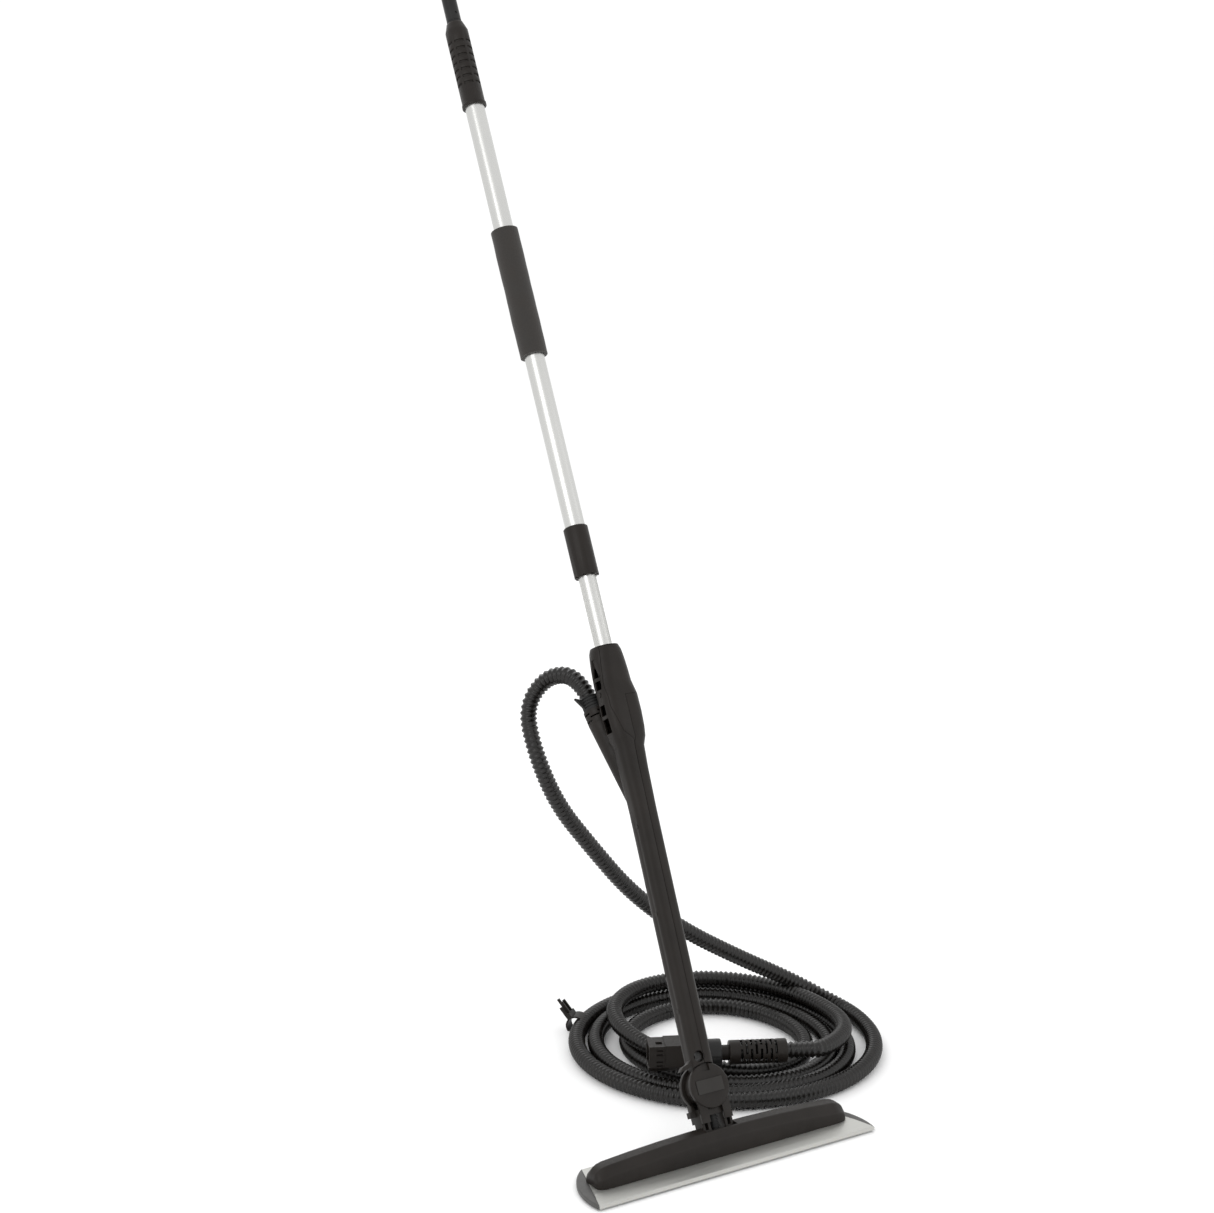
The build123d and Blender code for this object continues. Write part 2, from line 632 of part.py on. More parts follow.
def pivot_nut():
    """Hexagon nut in the rear disc's counterbore."""
    half = TONGUE_THICKNESS / 2 + TONGUE_GAP
    hexagon = extrude(RegularPolygon(8.6, 6), amount=4.5)
    nut = Pos(0, half + DISC_THICKNESS - 2.5, NECK_LENGTH) * Rot(-90, 0, 0) * hexagon
    return nut - rod_along_y(BOLT_D / 2, 0, 40, z=NECK_LENGTH)


def friction_washers():
    """A thin friction washer on each side of the tongue."""
    solids = []
    for side in (-1, 1):
        near = side * (TONGUE_THICKNESS / 2 + SLIDE_GAP)
        far = side * (TONGUE_THICKNESS / 2 + TONGUE_GAP - SLIDE_GAP)
        low = min(near, far)
        high = max(near, far)
        washer = rod_along_y(16, low, high, z=NECK_LENGTH)
        solids.append(washer - rod_along_y(BOLT_D / 2 + SLIDE_GAP, low - 1, high + 1, z=NECK_LENGTH))
    return solids


def steam_duct():
    """Ribbed pipe between the legs, turning on the hollow tilt pin."""
    top = NECK_LENGTH - TONGUE_R - 4.5
    duct = rod(5.0, 0, top)
    for index in range(4):
        height = 10 + index * 3.4
        duct += rod(6.2, height, height + 1.6)
    duct += rod_along_x(6.2, -7.5, 7.5)
    duct -= rod_along_x(TILT_PIN_D / 2 + SLIDE_GAP, -10, 10)
    return duct - rod(2.5, 0, top + 1)


def tilt_bushes():
    """Plain bushes in the legs' eyes."""
    solids = []
    for side in (-1, 1):
        low = min(side * LEG_INNER, side * LEG_OUTER)
        high = max(side * LEG_INNER, side * LEG_OUTER)
        bush = rod_along_x(TILT_PIN_D / 2 + 2, low, high)
        solids.append(bush - rod_along_x(TILT_PIN_D / 2 + SLIDE_GAP, low - 1, high + 1))
    return solids


# ---------------------------------------------------------------- head

def plate_outline(grow=0.0):
    """Plan of the head's plate: a trapezoid that is longer at the front."""
    front = PLATE_FRONT_LENGTH / 2 + grow
    back = front - PLATE_TAPER
    half = PLATE_WIDTH / 2
    return [(-front, -half), (front, -half), (back, half), (-back, half)]


def head_plate():
    """Aluminium extrusion with turned-down lips, cut to a trapezoid."""
    half = PLATE_WIDTH / 2
    section = [(-half, PLATE_BOTTOM), (-half, 5.6), (-half + 2, 6.6), (-20, PLATE_TOP), (20, PLATE_TOP),
               (half - 2, 6.6), (half, 5.6), (half, PLATE_BOTTOM)]
    face = make_face(Polyline(*[(-220, y, z) for y, z in section], close=True))
    plate = extrude(face, amount=440, dir=(1, 0, 0))
    prism = extrude(make_face(Polyline(*plate_outline(), close=True)), amount=20)
    plate &= prism
    plate -= pad_block()
    for side in (-1, 1):
        plate -= cap_tenon(side, SLIDE_GAP)
    for x in jet_places():
        plate -= Pos(x, MANIFOLD_Y, 0) * rod(JET_D / 2, 0, PLATE_TOP + 2)
    for x, y in bonnet_screw_places():
        plate -= Pos(x, y, 0) * rod(PLATE_HOLE_R, 0, PLATE_TOP + 2)
    return plate


def cap_tenon(side, gap):
    """Flat tenon of an end cap, and with a gap the slot that takes it."""
    end = PLATE_FRONT_LENGTH / 2 - PLATE_TAPER / 2
    half = TENON_WIDTH / 2 + gap
    shape = block(end - TENON_REACH - gap, end + 8, -half, half, TENON_LOW - gap, TENON_TOP + gap)
    return shape if side > 0 else mirror(shape, Plane.YZ)


def end_cap(side):
    """Lens-shaped grey plastic end with a tenon in the plate."""
    front = PLATE_FRONT_LENGTH / 2
    back = front - PLATE_TAPER
    half = PLATE_WIDTH / 2
    middle = (front + back) / 2
    slope = math.atan2(PLATE_TAPER, PLATE_WIDTH)
    outer = (middle + CAP_BULGE * math.cos(slope), CAP_BULGE * math.sin(slope))
    edge = ThreePointArc((back, half), outer, (front, -half))
    face = make_face([edge, Line((front, -half), (back, half))])
    cap = extrude(face, amount=PLATE_TOP - PLATE_BOTTOM - 0.6)
    cap = Pos(0, 0, PLATE_BOTTOM - 0.5) * cap
    top_edges = cap.edges().group_by(Axis.Z)[-1].filter_by(GeomType.CIRCLE)
    cap = chamfer(top_edges, 1.2)
    plan = extrude(make_face(Polyline(*plate_outline(), close=True)), amount=20)
    cap += cap_tenon(1, 0) & plan
    return cap if side > 0 else mirror(cap, Plane.YZ)


def bonnet_section(x, inset):
    """One cross-section of the bonnet: base, steep lower face and sloping top, with round corners."""
    end = BONNET_LENGTH / 2
    reach = (end - abs(x)) / BONNET_NOSE
    nose = math.sqrt(1 - (1 - min(reach, 1)) ** 2)
    swell = 1 - (x / end) ** 2
    half = BONNET_WIDTH / 2 * (0.62 + 0.38 * nose) - inset
    crease = 14 + (4.6 + 9.4 * swell) * nose - inset
    ridge = 18 + (11 + 8 * swell) * nose - inset
    points = [(-half, PLATE_TOP - 1), (-half + 1.8, crease), (-half * 0.4, ridge), (half * 0.4, ridge),
              (half - 1.8, crease), (half, PLATE_TOP - 1)]
    face = make_face(Polyline(*[(x, y, z) for y, z in points], close=True))
    rounded = face.vertices().sort_by(Axis.Z)[2:]
    return fillet(rounded, BONNET_ROUND - inset)


def bonnet_loft(inset):
    """The bonnet's outer or inner form."""
    end = BONNET_LENGTH / 2 - inset
    ends = [end - reach * BONNET_NOSE for reach in (0, 0.04, 0.14, 0.32, 0.6, 1)]
    middle = [120, 80, 40]
    stations = [-x for x in ends + middle] + [0.0] + list(reversed(middle)) + list(reversed(ends))
    shape = loft([bonnet_section(x, inset) for x in stations], ruled=True)
    return shape & block(-end, end, -60, 60, PLATE_TOP, 60)


def neck_opening():
    """The room that the neck's legs swing through, open to the rear."""
    side = LEG_OUTER + 0.8
    return block(-side, side, TILT_Y - LEG_EYE_R - 1.2, 40, 12.5, 60)


def bonnet():
    """Black cover over the steam manifold, open at the middle for the neck."""
    cover = bonnet_loft(0) - bonnet_loft(BONNET_WALL)
    cover -= neck_opening()
    for x, y in bonnet_screw_places():
        boss = Pos(x, y, 0) * rod(3.4, PLATE_TOP, 2 * BONNET_WIDTH)
        cover += boss & bonnet_loft(0)
        cover -= Pos(x, y, 0) * rod(THREAD_R, PLATE_TOP - 1, SCREW_TIP)
    return cover


def bonnet_screw_places():
    """Where the bonnet's screws stand."""
    return [(-150, 0), (-80, 6), (80, 6), (150, 0)]


def bonnet_screws():
    """Screws up through the plate into the bonnet's bosses."""
    solids = []
    for x, y in bonnet_screw_places():
        low = PAD_TOP + 0.1
        screw = rod(THREAD_R, low, SCREW_TIP) + rod(PLATE_HOLE_R - SLIDE_GAP, low, PLATE_TOP)
        solids.append(Pos(x, y, 0) * screw)
    return solids


def tilt_bracket():
    """Bracket on the plate with an ear at each end of the tilt pin."""
    bracket = block(-LEG_OUTER - EAR_THICKNESS - 0.4, LEG_OUTER + EAR_THICKNESS + 0.4, -3.2, 14, PLATE_TOP, 11)
    for side in (-1, 1):
        near = side * (LEG_OUTER + 0.4)
        far = side * (LEG_OUTER + EAR_THICKNESS + 0.4)
        low = min(near, far)
        high = max(near, far)
        bracket += block(low, high, -3.2, TILT_Y + 7.5, 10, TILT_Z)
        bracket += rod_along_x(7.5, low, high, y=TILT_Y, z=TILT_Z)
    return bracket - rod_along_x(TILT_PIN_D / 2, -60, 60, y=TILT_Y, z=TILT_Z)


def tilt_pin():
    """Hollow pin that the neck tilts on, which also carries the steam."""
    length = LEG_OUTER + EAR_THICKNESS + 0.4
    pin = rod_along_x(TILT_PIN_D / 2, -length, length, y=TILT_Y, z=TILT_Z)
    return pin - rod_along_x(2, -length + 3, length + 1, y=TILT_Y, z=TILT_Z)


def jet_places():
    """Where the steam jets stand along the manifold."""
    pitch = 46
    return [(index - (JET_COUNT - 1) / 2) * pitch for index in range(JET_COUNT)]


def steam_manifold():
    """Pipe along the head with a stub to the tilt bracket."""
    length = MANIFOLD_LENGTH / 2
    pipe = rod_along_x(MANIFOLD_D / 2, -length, length, y=MANIFOLD_Y, z=MANIFOLD_Z)
    stub_x = LEG_OUTER + EAR_THICKNESS / 2 + 0.4
    pipe += rod_along_y(2.4, MANIFOLD_Y, -3.2, x=stub_x, z=MANIFOLD_Z)
    pipe -= rod_along_x(MANIFOLD_D / 2 - 1, -length + 2, length - 2, y=MANIFOLD_Y, z=MANIFOLD_Z)
    for x in jet_places():
        pipe -= Pos(x, MANIFOLD_Y, 0) * rod(JET_D / 2 - JET_GAP, PLATE_TOP, MANIFOLD_Z)
    return pipe


def steam_jets():
    """Short nozzles from the manifold down through the plate."""
    nozzle = ring(JET_D / 2 - JET_GAP, 1.0, PAD_TOP + 0.1, MANIFOLD_Z - 2.0)
    return [Pos(x, MANIFOLD_Y, 0) * nozzle for x in jet_places()]


def pad_block():
    """The plain block of the hook pad, and of the recess it lies in."""
    return block(-PAD_LENGTH / 2, PAD_LENGTH / 2, -PAD_WIDTH / 2, PAD_WIDTH / 2, 0, PAD_TOP)


def hook_pad():
    """Flat pad under the plate that a cloth clings to, holed for the steam jets."""
    pad = pad_block()
    for x in jet_places():
        pad -= Pos(x, MANIFOLD_Y, 0) * rod(JET_D / 2, -1, PAD_TOP + 1)
    return pad


# ---------------------------------------------------------------- hose

def hose_tube():
    """The hose from the lance down to the coil: straight runs joined by tangent arcs."""
    mouth = (placed_branch() * Pos(0, 0, HOSE_SEAT)).position
    rise = (placed_branch() * Pos(0, 0, HOSE_RISE)).position
    print(f"hose leaves the socket at {tuple(mouth)} towards {tuple(rise)}")
    points = [mouth, rise] + [Vector(*p) for p in HOSE_ROUTE]
    pieces = []
    start = points[0]
    for index in range(1, len(points) - 1):
        corner = points[index]
        before = (corner - points[index - 1]).length
        after = (points[index + 1] - corner).length
        incoming = (corner - points[index - 1]).normalized()
        outgoing = (points[index + 1] - corner).normalized()
        turn = math.radians(incoming.get_angle(outgoing))
        setback = 0.45 * min(before, after)
        radius = setback / math.tan(turn / 2)
        print(f"hose bend {index}: turn {math.degrees(turn):.0f} deg, radius {radius:.0f} mm")
        first = corner - incoming * setback
        last = corner + outgoing * setback
        pieces.append(Line(start, first))
        pieces.append(TangentArc(first, last, tangent=incoming))
        start = last
    pieces.append(Line(start, points[-1]))
    path = Wire(pieces)
    section = Plane(origin=path @ 0, z_dir=path % 0) * Circle(HOSE_D / 2)
    tube = sweep(section, path=path)
    print(f"hose run {path.length:.0f} mm, volume ratio {tube.volume / (path.length * math.pi * HOSE_D ** 2 / 4):.4f}")
    return tube


def hose_coil():
    """The coil's outer shape: a low ring on the floor, cut away round the clip."""
    slope = Cone(COIL_R, COIL_R - COIL_SLOPE, COIL_HEIGHT, align=(Align.CENTER, Align.CENTER, Align.MIN))
    coil = Pos(COIL_X, COIL_Y, 0) * slope
    coil -= Pos(COIL_HOLE_X, COIL_HOLE_Y, 0) * rod(COIL_HOLE_R, -1, COIL_HEIGHT + 1)
    return coil


def housing(x_low, x_high, extra):
    """A square housing with its lower long edges cut off, a little larger by the extra."""
    half_width = BLOCK_WIDTH / 2 + extra
    half_height = BLOCK_HEIGHT / 2
    body = block(x_low, x_high, -half_width, half_width, -half_height, half_height + extra)
    lower = body.edges().filter_by(Axis.X).group_by(Axis.Z)[0]
    return chamfer(lower, BLOCK_CHAMFER)


def connector_block():
    """Rear half of the square plug housing, with slots."""
    half_width = BLOCK_WIDTH / 2
    half_height = BLOCK_HEIGHT / 2
    body = housing(0, 20, 0)
    cuts = []
    for side in (-1, 1):
        for z in (12.0, 6.5, -2.5, -7.5):
            low = min(side * half_width, side * (half_width - 2))
            high = max(side * half_width, side * (half_width - 2))
            cuts.append(block(9, 17, low, high, z - 1.3, z + 1.3))
    cuts.append(block(9, 17, -8, 0, half_height - 2, half_height + 1))
    cuts.append(block(-1, MOUTH_DEPTH, -half_width + MOUTH_WALL, half_width - MOUTH_WALL,
                      -half_height + BLOCK_CHAMFER, half_height - MOUTH_WALL))
    return body - cuts


def connector_pins():
    """Steam spigot and two contact pins inside the plug's mouth."""
    spigot = rod_along_x(4, 2, MOUTH_DEPTH - 2) + rod_along_x(3.4, 2, MOUTH_DEPTH) - rod_along_x(2.4, 1, 15)
    return [spigot] + [rod_along_x(1.5, 4, MOUTH_DEPTH, y=y, z=8) for y in (-8, 8)]


def connector_body():
    """Front half of the housing, a little larger, with a round barrel."""
    return housing(20, 44, 1) + rod_along_x(BARREL_D / 2 - 1, 44, 72)


def connector_collar():
    """Glossy round collar behind the housing."""
    collar = rod_along_x(BARREL_D / 2, 72, 90)
    return chamfer(collar.edges().filter_by(GeomType.CIRCLE), 1)


def connector_neck():
    """Narrow neck between the collar and the strain relief."""
    return rod_along_x(9.5, 90, 100)


def strain_relief():
    """Slotted sleeve that holds the hose, with a plain rounded end."""
    outer = RELIEF_D / 2
    body = rod_along_x(outer, 100, 172)
    body = fillet(body.edges().filter_by(GeomType.CIRCLE), 1.5)
    body -= rod_along_x(HOSE_D / 2 + 0.3, 110, 173)
    cuts = []
    for index in range(8):
        x = 115 + index * 6.1
        for column in range(4):
            turn = column * 90 + index % 2 * 45
            cut = block(x - 1.5, x + 1.5, -8.5, 8.5, 8, 20)
            cuts.append(Rot(turn, 0, 0) * cut)
    return body - cuts


def connector_room():
    """The hollow that the connector has pressed into the coil's plain solid."""
    half_width = BLOCK_WIDTH / 2 + 1
    low = -BLOCK_HEIGHT / 2
    room = block(-1, 45, -half_width, half_width, low, 60)
    return room + block(44, 173, -BARREL_D / 2, BARREL_D / 2, -BARREL_D / 2, 60)


def clip_place():
    """Where the clip holds the outer turn."""
    turn = 132.0
    radius = COIL_R - HOSE_D / 2
    x = COIL_X + radius * math.cos(math.radians(turn))
    y = COIL_Y + radius * math.sin(math.radians(turn))
    return Pos(x, y, HOSE_D / 2) * Rot(0, 0, turn)


def hose_clip():
    """Comb-like clip: an open band round the hose, and springy fingers that stand up from it."""
    grip = HOSE_D / 2
    band = Rot(90, 0, 0) * (Cylinder(grip + CLIP_WALL, CLIP_WIDTH) - Cylinder(grip + 0.3, CLIP_WIDTH + 2))
    band -= block(-40, 40, -40, 40, -40, -grip + 3)
    half = CLIP_WIDTH / 2
    clip = band + Rot(0, -CLIP_RISE, 0) * block(grip + 1.2, grip + 8, -half, half, -3.5, 3.5)
    pitch = (CLIP_WIDTH - CLIP_FINGER) / (CLIP_FINGERS - 1)
    for index in range(CLIP_FINGERS):
        y = -half + index * pitch
        length = 22 - 5 * abs(index - (CLIP_FINGERS - 1) / 2)
        lift = -3.5 + (index % 2) * 3.5
        finger = block(grip + 7, grip + 8 + length, y, y + CLIP_FINGER, lift, lift + 3.5)
        clip += Rot(0, -CLIP_RISE, 0) * finger
    return clip


def clip_room():
    """Room cut in the coil's plain solid for the clip."""
    band = Rot(90, 0, 0) * Cylinder(HOSE_D / 2 + CLIP_WALL + 0.2, CLIP_WIDTH + 0.6)
    half = CLIP_WIDTH / 2 + 0.3
    return band + Rot(0, -CLIP_RISE, 0) * block(HOSE_D / 2 + 0.9, 60, -half, half, -3.8, 3.8)


def build_pole():
    place = placed_pole()
    export(place * inner_tube(), "inner_tube")
    export(place * tube_guide(), "tube_guide")
    export(place * outer_tube(), "outer_tube")
    export(place * foam_grip(), "foam_grip")
    export(place * top_grip(), "top_grip")
    export(place * top_stub(), "top_stub")
    export(place * collet(), "collet")
    export(place * lock_collar(), "lock_collar")
    export(place * tube_socket(), "tube_socket")
    export(place * tube_screw(), "tube_screw")


def build_lance():
    place = placed_lance()
    hull = lance_hull()
    cover = hull & cover_outline(0)
    hull -= cover_outline(SEAM)
    screws = shell_screws()
    left = shell_half(hull, -1) - pocket_cuts() - clip_notches() + lance_lip()
    left -= screws
    right = shell_half(hull, 1)
    export(place * left, "lance_shell_left")
    export(place * right, "lance_shell_right")
    export(place * cover, "fairing_cover")
    export(place * group(screws), "shell_screws")
    export(place * pivot_tongue(), "pivot_tongue")
    export(place * steam_pipe(), "steam_pipe")
    branch = placed_branch()
    export(branch * hose_socket(), "hose_socket")
    export(branch * hose_sleeve(), "hose_sleeve")
    export(branch * hose_barb(), "hose_barb")
    export(branch * hose_ferrule(), "hose_ferrule")


def build_neck():
    place = placed_neck()
    export(place * neck_yoke(), "neck_yoke")
    export(place * disc_cap(), "disc_cap")
    export(place * badge_block(0.6), "badge_plate")
    export(place * pivot_bolt(), "pivot_bolt")
    export(place * pivot_nut(), "pivot_nut")
    export(place * group(friction_washers()), "friction_washers")
    export(place * steam_duct(), "steam_duct")
    export(place * group(tilt_bushes()), "tilt_bushes")


def build_head():
    export(head_plate(), "head_plate")
    export(end_cap(-1), "end_cap_left")
    export(end_cap(1), "end_cap_right")
    export(bonnet(), "bonnet")
    export(tilt_bracket(), "tilt_bracket")
    export(tilt_pin(), "tilt_pin")
    export(steam_manifold(), "steam_manifold")
    export(group(steam_jets()), "steam_jets")
    export(group(bonnet_screws()), "bonnet_screws")
    export(hook_pad(), "hook_pad")


def build_hose():
    export(hose_tube(), "hose_tube")
    clip = clip_place()
    export(hose_coil() - clip * clip_room() - placed_connector() * connector_room(), "hose_coil")
    export(clip * hose_clip(), "hose_clip")
    place = placed_connector()
    export(place * connector_block(), "connector_block")
    export(place * group(connector_pins()), "connector_pins")
    export(place * connector_body(), "connector_body")
    export(place * connector_collar(), "connector_collar")
    export(place * connector_neck(), "connector_neck")
    export(place * strain_relief(), "strain_relief")


def main():
    os.makedirs("parts", exist_ok=True)
    build_pole()
    build_lance()
    build_neck()
    build_head()
    build_hose()


if __name__ == "__main__":
    main()
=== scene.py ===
"""Dresses a steam mop: its corrugated hose, foam sleeve, mouldings and metal, on a pale floor.
"""
import json
import logging
import math
from dataclasses import dataclass, field
from enum import Enum
from typing import Callable, Sequence

import bmesh
import bpy
from mathutils import Matrix, Vector


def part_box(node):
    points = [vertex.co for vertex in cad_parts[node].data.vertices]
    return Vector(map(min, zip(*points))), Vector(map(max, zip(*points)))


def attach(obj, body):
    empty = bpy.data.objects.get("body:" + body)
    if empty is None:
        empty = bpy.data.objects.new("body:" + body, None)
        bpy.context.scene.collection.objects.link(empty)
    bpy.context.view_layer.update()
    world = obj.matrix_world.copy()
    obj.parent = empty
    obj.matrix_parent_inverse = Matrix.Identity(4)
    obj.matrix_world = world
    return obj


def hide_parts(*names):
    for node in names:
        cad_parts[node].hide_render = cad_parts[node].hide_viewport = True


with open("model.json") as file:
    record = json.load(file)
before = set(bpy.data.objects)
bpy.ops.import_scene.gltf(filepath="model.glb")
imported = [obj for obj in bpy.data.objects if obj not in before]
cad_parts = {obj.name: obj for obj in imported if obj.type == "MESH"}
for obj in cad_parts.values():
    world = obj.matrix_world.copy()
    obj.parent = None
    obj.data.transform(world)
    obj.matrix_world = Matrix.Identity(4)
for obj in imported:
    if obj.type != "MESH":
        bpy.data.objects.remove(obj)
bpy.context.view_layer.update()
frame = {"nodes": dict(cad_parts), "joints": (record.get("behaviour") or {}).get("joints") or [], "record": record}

log = logging.getLogger("steam_mop")
UP = Vector((0.0, 0.0, 1.0))
MERGE_DISTANCE = 0.00001


class Body(Enum):
    """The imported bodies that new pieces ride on."""

    LANCE = "lance"
    POLE = "pole"


# ---------------------------------------------------------------- node graphs


class NodeGraph:
    """A material's node tree with short calls to fill it."""

    def __init__(self, name: str) -> None:
        """Starts an empty material.

        Args:
            name: The material's name.
        """
        self.material = bpy.data.materials.new(name)
        self.material.use_nodes = True
        self.tree = self.material.node_tree
        self.tree.nodes.clear()
        self.output = self.tree.nodes.new("ShaderNodeOutputMaterial")
        self.shader = self.tree.nodes.new("ShaderNodeBsdfPrincipled")
        self.link(self.shader.outputs["BSDF"], self.output.inputs["Surface"])

    def link(self, start: bpy.types.NodeSocket, end: bpy.types.NodeSocket) -> None:
        """Joins two sockets.

        Args:
            start: The output socket.
            end: The input socket.
        """
        self.tree.links.new(start, end)

    def set(self, **values: object) -> None:
        """Sets plain values on the main shader.

        Args:
            values: Value by socket, with _ for a space in a socket's name.
        """
        for name, value in values.items():
            self.shader.inputs[name.replace("_", " ")].default_value = value

    def coordinates(self, scale: Sequence[float] = (1, 1, 1)) -> bpy.types.NodeSocket:
        """Object coordinates for a pattern.

        Args:
            scale: How much each axis is stretched.

        Returns:
            The vector socket.
        """
        source = self.tree.nodes.new("ShaderNodeTexCoord")
        mapping = self.tree.nodes.new("ShaderNodeMapping")
        mapping.inputs["Scale"].default_value = scale
        self.link(source.outputs["Object"], mapping.inputs["Vector"])
        return mapping.outputs["Vector"]

    def noise(self, where: bpy.types.NodeSocket, scale: float, detail: float = 4.0,
              roughness: float = 0.55) -> bpy.types.NodeSocket:
        """A noise pattern.

        Args:
            where: The coordinates that it follows.
            scale: How fine it is.
            detail: How many finer layers it has.
            roughness: How strong the finer layers are.

        Returns:
            The factor socket.
        """
        node = self.tree.nodes.new("ShaderNodeTexNoise")
        node.inputs["Scale"].default_value = scale
        node.inputs["Detail"].default_value = detail
        node.inputs["Roughness"].default_value = roughness
        self.link(where, node.inputs["Vector"])
        return node.outputs["Fac"]

    def ramp(self, factor: bpy.types.NodeSocket, low: float, high: float,
             position: tuple[float, float] = (0.35, 0.65)) -> bpy.types.NodeSocket:
        """Maps a factor to a range of values.

        Args:
            factor: The pattern.
            low: The value where the pattern is low.
            high: The value where it is high.
            position: The pattern's values that give low and high.

        Returns:
            The value socket.
        """
        node = self.tree.nodes.new("ShaderNodeMapRange")
        node.inputs["From Min"].default_value = position[0]
        node.inputs["From Max"].default_value = position[1]
        node.inputs["To Min"].default_value = low
        node.inputs["To Max"].default_value = high
        self.link(factor, node.inputs["Value"])
        return node.outputs["Result"]

    def tint(self, factor: bpy.types.NodeSocket, dark: Sequence[float], light: Sequence[float],
             position: tuple[float, float] = (0.3, 0.7)) -> None:
        """Colours the shader between two colours.

        Args:
            factor: The pattern.
            dark: The colour where the pattern is low.
            light: The colour where it is high.
            position: The pattern's values that give dark and light.
        """
        node = self.tree.nodes.new("ShaderNodeValToRGB")
        node.color_ramp.elements[0].position = position[0]
        node.color_ramp.elements[1].position = position[1]
        node.color_ramp.elements[0].color = (*dark, 1)
        node.color_ramp.elements[1].color = (*light, 1)
        self.link(factor, node.inputs["Fac"])
        self.link(node.outputs["Color"], self.shader.inputs["Base Color"])

    def bump(self, heights: Sequence[tuple[bpy.types.NodeSocket, float, float]]) -> None:
        """Chains bumps into the shader's normal.

        Args:
            heights: Pattern, strength and depth in metres of each bump.
        """
        previous = None
        for factor, strength, distance in heights:
            node = self.tree.nodes.new("ShaderNodeBump")
            node.inputs["Strength"].default_value = strength
            node.inputs["Distance"].default_value = distance
            self.link(factor, node.inputs["Height"])
            if previous is not None:
                self.link(previous, node.inputs["Normal"])
            previous = node.outputs["Normal"]
        self.link(previous, self.shader.inputs["Normal"])

    def roughness(self, value: bpy.types.NodeSocket) -> None:
        """Drives the shader's roughness.

        Args:
            value: The socket that gives it.
        """
        self.link(value, self.shader.inputs["Roughness"])


# ---------------------------------------------------------------- finishes


@dataclass(frozen=True)
class MouldedPlastic:
    """Black or grey moulding with a fine spark-eroded grain and faint handling marks."""

    name: str
    dark: tuple[float, float, float]
    light: tuple[float, float, float]
    gloss: float = 0.42
    grain: float = 0.35

    def material(self) -> bpy.types.Material:
        """Builds the material.

        Returns:
            The material.
        """
        graph = NodeGraph(self.name)
        where = graph.coordinates()
        cloud = graph.noise(where, 22, 3)
        fine = graph.noise(where, 1500, 2, 0.6)
        marks = graph.noise(graph.coordinates((1, 1, 0.12)), 260, 5, 0.7)
        graph.tint(cloud, self.dark, self.light)
        graph.roughness(graph.ramp(marks, self.gloss - 0.05, self.gloss + 0.07))
        graph.set(IOR=1.49, Specular_IOR_Level=0.22)
        graph.bump([(fine, self.grain, 0.00012), (marks, 0.05, 0.0001)])
        return graph.material


@dataclass(frozen=True)
class DrawnAluminium:
    """Aluminium tube or extrusion with fine lines along its draw direction."""

    name: str
    stretch: tuple[float, float, float]
    colour: tuple[float, float, float] = (0.58, 0.58, 0.565)
    gloss: float = 0.30
    metallic: float = 1.0

    def material(self) -> bpy.types.Material:
        """Builds the material.

        Returns:
            The material.
        """
        graph = NodeGraph(self.name)
        lines = graph.noise(graph.coordinates(self.stretch), 900, 3, 0.6)
        cloud = graph.noise(graph.coordinates(), 9, 4)
        pale = tuple(min(1.0, c * 1.06) for c in self.colour)
        graph.tint(cloud, self.colour, pale)
        graph.roughness(graph.ramp(lines, self.gloss - 0.05, self.gloss + 0.08))
        graph.set(Metallic=self.metallic)
        graph.bump([(lines, 0.12, 0.00006)])
        return graph.material


@dataclass(frozen=True)
class FoamSkin:
    """Closed-cell foam: matt, with small open pores and soft creases."""

    name: str

    def material(self) -> bpy.types.Material:
        """Builds the material.

        Returns:
            The material.
        """
        graph = NodeGraph(self.name)
        where = graph.coordinates()
        pores = graph.tree.nodes.new("ShaderNodeTexVoronoi")
        pores.inputs["Scale"].default_value = 900
        graph.link(where, pores.inputs["Vector"])
        cloud = graph.noise(where, 45, 5)
        graph.tint(cloud, (0.017, 0.0145, 0.0125), (0.028, 0.024, 0.021))
        graph.roughness(graph.ramp(cloud, 0.78, 0.92))
        graph.set(Sheen_Weight=0.12, Sheen_Roughness=0.5)
        graph.bump([(pores.outputs["Distance"], 0.5, 0.00025), (cloud, 0.25, 0.0006)])
        return graph.material


@dataclass(frozen=True)
class HoseSkin:
    """Black corrugated hose: satin, with scuffed crests."""

    name: str

    def material(self) -> bpy.types.Material:
        """Builds the material.

        Returns:
            The material.
        """
        graph = NodeGraph(self.name)
        where = graph.coordinates()
        scuffs = graph.noise(where, 120, 6, 0.65)
        fine = graph.noise(where, 1200, 2)
        graph.tint(scuffs, (0.0030, 0.0024, 0.0020), (0.0090, 0.0072, 0.0060), (0.4, 0.75))
        graph.roughness(graph.ramp(scuffs, 0.24, 0.36))
        graph.set(IOR=1.5, Specular_IOR_Level=0.42)
        graph.bump([(fine, 0.15, 0.0001)])
        return graph.material


@dataclass(frozen=True)
class TurnedMetal:
    """Small turned or pressed metal piece."""

    name: str
    colour: tuple[float, float, float]
    gloss: float = 0.32

    def material(self) -> bpy.types.Material:
        """Builds the material.

        Returns:
            The material.
        """
        graph = NodeGraph(self.name)
        where = graph.coordinates()
        stains = graph.noise(where, 160, 5)
        dull = tuple(c * 0.82 for c in self.colour)
        graph.tint(stains, dull, self.colour)
        graph.roughness(graph.ramp(stains, self.gloss, self.gloss + 0.15))
        graph.set(Metallic=1.0)
        graph.bump([(graph.noise(where, 1800, 2), 0.1, 0.00005)])
        return graph.material


